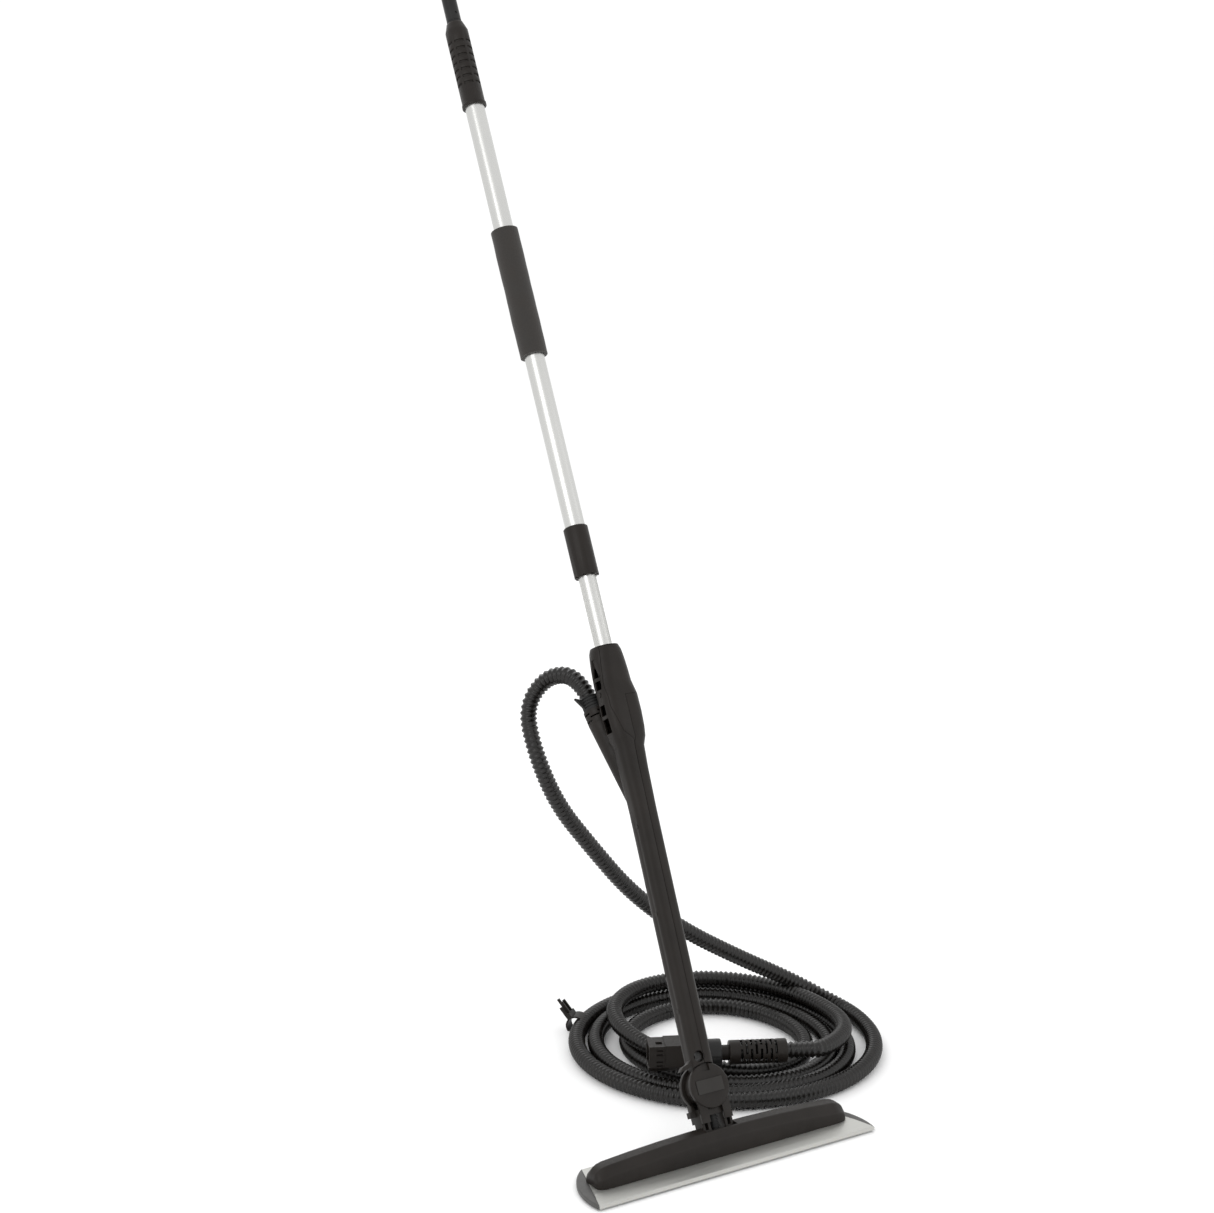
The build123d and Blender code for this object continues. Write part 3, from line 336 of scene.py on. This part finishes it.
@dataclass(frozen=True)
class HookTape:
    """Short nylon hooks in rows under the head."""

    name: str

    def material(self) -> bpy.types.Material:
        """Builds the material.

        Returns:
            The material.
        """
        graph = NodeGraph(self.name)
        where = graph.coordinates()
        hooks = graph.tree.nodes.new("ShaderNodeTexVoronoi")
        hooks.inputs["Scale"].default_value = 650
        graph.link(where, hooks.inputs["Vector"])
        graph.tint(graph.noise(where, 60), (0.016, 0.016, 0.016), (0.04, 0.04, 0.04))
        graph.roughness(graph.ramp(hooks.outputs["Distance"], 0.7, 0.95))
        graph.bump([(hooks.outputs["Distance"], 0.9, 0.0008)])
        return graph.material


class Finishes:
    """Every material of the mop, built once."""

    def __init__(self) -> None:
        """Builds the materials."""
        self.plastic = MouldedPlastic("black_moulding", (0.0100, 0.0080, 0.0066),
                                      (0.0150, 0.0120, 0.0100)).material()
        self.badge = MouldedPlastic("blank_badge", (0.020, 0.018, 0.016), (0.026, 0.024, 0.022),
                                    0.35, 0.1).material()
        self.gloss = MouldedPlastic("glossy_moulding", (0.012, 0.012, 0.012),
                                    (0.018, 0.018, 0.018), 0.2, 0.05).material()
        self.grey = MouldedPlastic("grey_moulding", (0.065, 0.064, 0.062), (0.085, 0.083, 0.080),
                                   0.4, 0.25).material()
        self.casting = MouldedPlastic("black_casting", (0.02, 0.02, 0.02), (0.035, 0.035, 0.035),
                                      0.5, 0.6).material()
        self.rubber = MouldedPlastic("soft_black_moulding", (0.012, 0.012, 0.012),
                                     (0.02, 0.02, 0.02), 0.55, 0.2).material()
        self.tube = DrawnAluminium("drawn_tube", (1, 1, 0.01)).material()
        self.plate = DrawnAluminium("anodised_extrusion", (0.01, 1, 1), (0.50, 0.50, 0.475), 0.40,
                                    0.85).material()
        self.foam = FoamSkin("foam_skin").material()
        self.hose = HoseSkin("hose_skin").material()
        self.steel = TurnedMetal("plain_steel", (0.55, 0.55, 0.54)).material()
        self.brass = TurnedMetal("turned_brass", (0.72, 0.52, 0.25)).material()
        self.tape = HookTape("hook_tape").material()
        self.by_slot = {
            "aluminium_tube": self.tube, "anodised_plate": self.plate, "black_plastic": self.plastic,
            "gloss_black": self.gloss, "grey_plastic": self.grey, "foam": self.foam,
            "black_rubber": self.rubber, "hose_black": self.hose, "steel": self.steel,
            "brass": self.brass, "cast_bracket": self.casting, "hook_fabric": self.tape,
        }

        self.by_node = {"badge_plate": self.badge}

    def dress_nodes(self) -> None:
        """Gives every carried-over node the material of its slot."""
        for part in frame["record"]["subparts"]:
            node = frame["nodes"][part["node"]]
            node.data.materials.clear()
            of_slot = self.by_slot[part["material_slot"]]
            node.data.materials.append(self.by_node.get(part["node"], of_slot))
        log.info("dressed %d nodes", len(frame["nodes"]))


# ---------------------------------------------------------------- modelling helpers


def dress(piece: bpy.types.Object, material: bpy.types.Material, angle: float) -> None:
    """Gives a piece its material and smooth faces with crisp edges.

    Args:
        piece: The piece.
        material: Its material.
        angle: Edges sharper than this many degrees stay crisp.
    """
    piece.data.materials.clear()
    piece.data.materials.append(material)
    bpy.ops.object.select_all(action="DESELECT")
    piece.select_set(True)
    bpy.context.view_layer.objects.active = piece
    bpy.ops.object.shade_smooth_by_angle(angle=math.radians(angle))


def joint(name: str) -> dict:
    """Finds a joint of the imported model.

    Args:
        name: The joint's name.

    Returns:
        The joint's facts.
    """
    return next(j for j in frame["joints"] if j["name"] == name)


def body_of(node: str) -> str:
    """Finds the body that carries a node.

    Args:
        node: The node's name.

    Returns:
        The body's name.
    """
    bodies = frame["record"]["behaviour"]["bodies"]
    return next(body for body, nodes in bodies.items() if node in nodes)


def axis_frame(node: str, axis: Vector) -> Matrix:
    """A frame at a node's middle with z along an axis.

    Args:
        node: The node whose box gives the middle.
        axis: The direction of z.

    Returns:
        The frame as a matrix.
    """
    low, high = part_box(node)
    turn = UP.rotation_difference(axis).to_matrix().to_4x4()
    return Matrix.Translation((low + high) / 2) @ turn


# ---------------------------------------------------------------- camera, lights and floor


@dataclass(frozen=True)
class Lamp:
    """A square soft lamp that shines at the mop's middle."""

    name: str
    place: tuple[float, float, float]
    size: float
    power: float

    def build(self) -> None:
        """Adds the lamp."""
        data = bpy.data.lights.new(self.name, "AREA")
        data.size = self.size
        data.energy = self.power
        lamp = bpy.data.objects.new(self.name, data)
        lamp.location = self.place
        aim = MOP_MIDDLE - Vector(self.place)
        lamp.rotation_euler = aim.to_track_quat("-Z", "Y").to_euler()
        bpy.context.scene.collection.objects.link(lamp)


MOP_MIDDLE = Vector((0.1, 0.2, 0.5))
LAMPS = (
    Lamp("key", (-2.6, -1.2, 2.6), 2.0, 22.0),
    Lamp("fill", (2.4, -2.4, 1.6), 2.2, 8.0),
    Lamp("rim", (0.6, 2.6, 2.4), 1.8, 14.0),
)


@dataclass
class Stage:
    """Pale floor, soft lights and the camera."""

    eye: Vector = field(default_factory=lambda: Vector((-1.439, -2.022, 1.1656)))
    look: Vector = field(default_factory=lambda: Vector((0.5247, 0.8256, -0.2075)))
    lens: float = 68.48
    shift_y: float = 0.0058
    floor_size: float = 40.0
    floor_drop: float = 0.0004
    world_strength: float = 1.05

    def build(self) -> None:
        """Builds the stage."""
        self.add_camera()
        self.add_floor()
        self.add_lights()
        log.info("stage: camera, floor and lights")

    def add_camera(self) -> None:
        """Adds the camera."""
        data = bpy.data.cameras.new("camera")
        data.sensor_width = 36.0
        data.lens = self.lens
        data.shift_y = self.shift_y
        data.clip_start = 0.05
        camera = bpy.data.objects.new("camera", data)
        camera.location = self.eye
        camera.rotation_euler = self.look.to_track_quat("-Z", "Y").to_euler()
        bpy.context.scene.collection.objects.link(camera)
        bpy.context.scene.camera = camera

    def add_floor(self) -> None:
        """Adds a pale floor just under the mop."""
        bpy.ops.object.select_all(action="DESELECT")
        bpy.ops.mesh.primitive_plane_add(size=self.floor_size, location=(0, 0, -self.floor_drop))
        floor = bpy.context.object
        floor.name = "floor"
        graph = NodeGraph("pale_floor")
        graph.set(Base_Color=(0.97, 0.97, 0.97, 1), Roughness=0.9, Specular_IOR_Level=0.0)
        floor.data.materials.append(graph.material)

    def add_lights(self) -> None:
        """Adds a bright world and three large soft lamps."""
        world = bpy.data.worlds.new("studio")
        world.use_nodes = True
        background = world.node_tree.nodes["Background"]
        background.inputs["Color"].default_value = (1, 1, 1, 1)
        background.inputs["Strength"].default_value = self.world_strength
        bpy.context.scene.world = world
        bpy.context.scene.view_settings.view_transform = "Standard"
        for lamp in LAMPS:
            lamp.build()


# ---------------------------------------------------------------- hose


RINGS_PER_RIB = 4


@dataclass
class QuarterStation:
    """Where one quarter of a hose turn lies: distance from the coil's middle, and height."""

    radius: float
    height: float = 0.011


@dataclass
class SteamHose:
    """The corrugated hose, from the lance's socket through its coil to the plug."""

    diameter: float = 0.0218
    pitch: float = 0.0066
    valley: float = 0.0024
    sides: int = 16
    middle: Vector = field(default_factory=lambda: Vector((0.190, 0.260, 0.0)))
    points_per_quarter: int = 4
    first_angle: float = 12.0
    last_angle: float = 78.0
    run: tuple = (
        (-0.022, 0.341, 0.506), (-0.046, 0.357, 0.465), (-0.048, 0.333, 0.414), (-0.016, 0.334, 0.341),
        (0.032, 0.335, 0.280), (0.092, 0.330, 0.206), (0.168, 0.326, 0.144), (0.252, 0.322, 0.092),
        (0.334, 0.312, 0.046), (0.380, 0.281, 0.016),
    )
    exit_points: tuple = ((0.00004, 0.26132, 0.46440), (-0.00327, 0.29464, 0.50865))
    # right, front, left and back of each turn, clockwise from above
    turns: tuple = (
        (QuarterStation(0.196), QuarterStation(0.197), QuarterStation(0.195), QuarterStation(0.190)),
        (QuarterStation(0.152), QuarterStation(0.173), QuarterStation(0.170), QuarterStation(0.165)),
        (QuarterStation(0.130), QuarterStation(0.150), QuarterStation(0.129), QuarterStation(0.122)),
        (QuarterStation(0.100), QuarterStation(0.115), QuarterStation(0.126, 0.033),
         QuarterStation(0.169, 0.033)),
        (QuarterStation(0.146, 0.031), QuarterStation(0.168, 0.048)),
    )
    plug_turn: float = -27.0
    relief_half: float = 0.036
    relief_approach: float = 0.024
    relief_inside: float = 0.030
    relief_depth: float = 0.060

    def coil_points(self) -> list[Vector]:
        """Points round the coil, worked out turn by turn."""
        stations = [quarter for turn in self.turns for quarter in turn]
        steps = self.points_per_quarter
        first = self.first_angle / 90
        last = (len(self.turns) - 1) * 4 + self.last_angle / 90
        count = round((last - first) * steps)
        points = []
        for index in range(count + 1):
            place = first + (last - first) * index / count
            quarter = min(int(place), len(stations) - 2)
            part = place - quarter
            ease = part * part * (3 - 2 * part)
            near, far = stations[quarter], stations[quarter + 1]
            radius = near.radius + (far.radius - near.radius) * ease
            height = near.height + (far.height - near.height) * ease
            angle = math.radians(-90 * place)
            spoke = Vector((math.cos(angle), math.sin(angle), 0))
            points.append(self.middle + spoke * radius + UP * height)
        return points

    def plug_points(self) -> list[Vector]:
        """Points from the coil's last turn into the plug's strain relief."""
        low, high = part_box("strain_relief")
        height = (low.z + high.z) / 2
        turn = math.radians(self.plug_turn)
        along = Vector((math.cos(turn), math.sin(turn), 0))
        centre = Vector(((low.x + high.x) / 2, (low.y + high.y) / 2, height))
        mouth = centre + along * self.relief_half
        return [mouth + along * self.relief_approach, mouth, mouth - along * self.relief_inside,
                mouth - along * self.relief_depth]

    def route(self) -> list[Vector]:
        """The hose's control points from the socket to the plug."""
        ends = [Vector(p) for p in self.exit_points + self.run]
        return ends + self.coil_points() + self.plug_points()

    def centreline(self) -> list[Vector]:
        """Points of the NURBS line through the route, evenly spaced four to a rib."""
        curve = bpy.data.curves.new("hose_line", "CURVE")
        curve.dimensions = "3D"
        curve.resolution_u = 24
        route = self.route()
        spline = curve.splines.new("NURBS")
        spline.points.add(len(route) - 1)
        for point, place in zip(spline.points, route):
            point.co = (*place, 1)
        spline.order_u = 3
        spline.use_endpoint_u = True
        holder = bpy.data.objects.new("hose_line", curve)
        bpy.context.scene.collection.objects.link(holder)
        bpy.context.view_layer.update()
        line = bpy.data.meshes.new_from_object(holder)
        samples = [v.co.copy() for v in line.vertices]
        bpy.data.objects.remove(holder)
        bpy.data.curves.remove(curve)
        bpy.data.meshes.remove(line)
        return even_points(samples, self.pitch / RINGS_PER_RIB)

    def build(self, finishes: Finishes) -> bpy.types.Object:
        """Args:
            finishes: The mop's materials.

        Returns:
            The hose.
        """
        path = self.centreline()
        crest = self.diameter / 2
        radii = (crest, crest - self.valley * 0.5, crest - self.valley, crest - self.valley * 0.5)
        hose = tube_along("steam_hose", path, lambda i: radii[i % RINGS_PER_RIB], self.sides)
        dress(hose, finishes.hose, 75)
        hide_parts("hose_tube", "hose_coil")
        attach(hose, Body.LANCE.value)
        return hose


def even_points(samples: list[Vector], step: float) -> list[Vector]:
    """Points at an even distance along a line.

    Args:
        samples: The line's own points.
        step: The wanted distance.

    Returns:
        The evenly spaced points, both ends included.
    """
    lengths = [0.0]
    for a, b in zip(samples, samples[1:]):
        lengths.append(lengths[-1] + (b - a).length)
    count = round(lengths[-1] / step)
    points = []
    place = 0
    for index in range(count + 1):
        wanted = lengths[-1] * index / count
        while place < len(samples) - 2 and lengths[place + 1] < wanted:
            place += 1
        span = max(lengths[place + 1] - lengths[place], 1e-9)
        points.append(samples[place].lerp(samples[place + 1], (wanted - lengths[place]) / span))
    return points


def tube_along(name: str, path: list[Vector], radius_at: Callable[[int], float],
               sides: int) -> bpy.types.Object:
    """A closed tube whose radius changes from ring to ring.

    Args:
        name: The piece's name.
        path: The centreline.
        radius_at: The radius of each ring by its number.
        sides: Corners of a ring.

    Returns:
        The tube.
    """
    vertices: list[Vector] = []
    faces: list[tuple[int, ...]] = []
    tangent = (path[1] - path[0]).normalized()
    across = tangent.orthogonal().normalized()
    for index, place in enumerate(path):
        ahead = path[min(index + 1, len(path) - 1)] - path[max(index - 1, 0)]
        turned = ahead.normalized()
        across = tangent.rotation_difference(turned) @ across
        tangent = turned
        up = tangent.cross(across)
        for side in range(sides):
            angle = 2 * math.pi * side / sides
            spoke = across * math.cos(angle) + up * math.sin(angle)
            vertices.append(place + spoke * radius_at(index))
    for index in range(len(path) - 1):
        for side in range(sides):
            after = (side + 1) % sides
            low = index * sides
            faces.append((low + side, low + after, low + sides + after, low + sides + side))
    last = (len(path) - 1) * sides
    faces.append(tuple(reversed(range(sides))))
    faces.append(tuple(range(last, last + sides)))
    mesh = bpy.data.meshes.new(name)
    mesh.from_pydata(vertices, [], faces)
    mesh.update()
    tube = bpy.data.objects.new(name, mesh)
    bpy.context.scene.collection.objects.link(tube)
    return tube


# ---------------------------------------------------------------- pole


@dataclass
class FoamSleeve:
    """Soft grip sleeve on the upper tube."""

    length: float = 0.170
    radius: float = 0.0175
    bore: float = 0.0125
    edge: float = 0.004
    lip: float = 0.0006
    recess: float = 0.0016
    rings: int = 44
    sag: float = 0.00012

    def build(self, finishes: Finishes) -> bpy.types.Object:
        """Builds the sleeve.

        Args:
            finishes: The mop's materials.

        Returns:
            The sleeve.
        """
        bpy.ops.object.select_all(action="DESELECT")
        bpy.ops.mesh.primitive_cylinder_add(vertices=48, radius=self.radius, depth=self.length)
        sleeve = bpy.context.object
        sleeve.name = "foam_sleeve"
        bpy.ops.object.mode_set(mode="EDIT")
        bpy.ops.mesh.select_all(action="DESELECT")
        mesh = bmesh.from_edit_mesh(sleeve.data)
        for face in mesh.faces:
            face.select = abs(face.normal.z) > 0.9
        bmesh.update_edit_mesh(sleeve.data)
        bpy.ops.mesh.inset(thickness=self.radius - self.bore - self.lip, depth=0)
        bpy.ops.mesh.inset(thickness=self.lip, depth=-self.recess)
        mesh = bmesh.from_edit_mesh(sleeve.data)
        rim = self.length / 2
        for edge in mesh.edges:
            far = all(abs(abs(v.co.z) - rim) < 1e-5 for v in edge.verts)
            wide = all(v.co.xy.length > self.radius - 1e-5 for v in edge.verts)
            edge.select = far and wide
        bmesh.update_edit_mesh(sleeve.data)
        bpy.ops.mesh.bevel(offset=self.edge, segments=5, affect="EDGES")
        mesh = bmesh.from_edit_mesh(sleeve.data)
        for edge in mesh.edges:
            edge.select = abs(edge.verts[0].co.z - edge.verts[1].co.z) > self.length / 2
        bmesh.update_edit_mesh(sleeve.data)
        bpy.ops.mesh.subdivide(number_cuts=self.rings)
        bpy.ops.object.mode_set(mode="OBJECT")
        for vertex in sleeve.data.vertices:
            if vertex.co.xy.length > self.bore + 0.001:
                wave = math.sin(vertex.co.z * 210) * 0.6 + math.sin(vertex.co.z * 77 + 1.3)
                wave += 0.5 * math.sin(3 * math.atan2(vertex.co.y, vertex.co.x) + vertex.co.z * 90)
                scale = 1 - self.sag * (1.2 + wave) / self.radius
                vertex.co.x *= scale
                vertex.co.y *= scale
        axis = Vector(joint("telescope_slide")["axis"])
        sleeve.data.transform(axis_frame("foam_grip", axis))
        dress(sleeve, finishes.foam, 40)
        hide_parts("foam_grip")
        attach(sleeve, Body.POLE.value)
        log.info("foam sleeve: %d faces", len(sleeve.data.polygons))
        return sleeve


# ---------------------------------------------------------------- mouldings


@dataclass(frozen=True)
class SoftMoulding:
    """A moulded node copied with small rounded edges, as a tool leaves them."""

    node: str
    edge: float = 0.0007
    angle: float = 40.0

    def build(self) -> bpy.types.Object:
        """Builds the softened copy and hides the node it stands for.

        Returns:
            The copy.
        """
        source = frame["nodes"][self.node]
        mesh = source.data.copy()
        mesh.transform(source.matrix_world)
        piece = bpy.data.objects.new(f"{self.node}_moulded", mesh)
        bpy.context.scene.collection.objects.link(piece)
        bpy.ops.object.select_all(action="DESELECT")
        piece.select_set(True)
        bpy.context.view_layer.objects.active = piece
        bpy.ops.object.mode_set(mode="EDIT")
        bpy.ops.mesh.select_all(action="SELECT")
        bpy.ops.mesh.remove_doubles(threshold=MERGE_DISTANCE)
        bpy.ops.object.mode_set(mode="OBJECT")
        bevel = piece.modifiers.new("edges", "BEVEL")
        bevel.width = self.edge
        bevel.segments = 2
        bevel.limit_method = "ANGLE"
        bevel.angle_limit = math.radians(self.angle)
        bevel.use_clamp_overlap = True
        bpy.ops.object.modifier_apply(modifier=bevel.name)
        bpy.ops.object.shade_smooth_by_angle(angle=math.radians(self.angle))
        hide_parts(self.node)
        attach(piece, body_of(self.node))
        return piece


SOFT_MOULDINGS = (
    SoftMoulding("lance_shell_left"), SoftMoulding("lance_shell_right"), SoftMoulding("fairing_cover"),
    SoftMoulding("neck_yoke"), SoftMoulding("disc_cap", 0.0005), SoftMoulding("bonnet", 0.0008, 30.0),
    SoftMoulding("end_cap_left"), SoftMoulding("end_cap_right"), SoftMoulding("lock_collar", 0.0005),
    SoftMoulding("top_grip", 0.0005), SoftMoulding("hose_socket", 0.0004),
)


def main() -> None:
    """Builds the scene."""
    logging.basicConfig(level=logging.INFO, format="%(name)s: %(message)s")
    Stage().build()
    finishes = Finishes()
    finishes.dress_nodes()
    SteamHose().build(finishes)
    FoamSleeve().build(finishes)
    for moulding in SOFT_MOULDINGS:
        moulding.build()


if __name__ == "__main__":
    main()
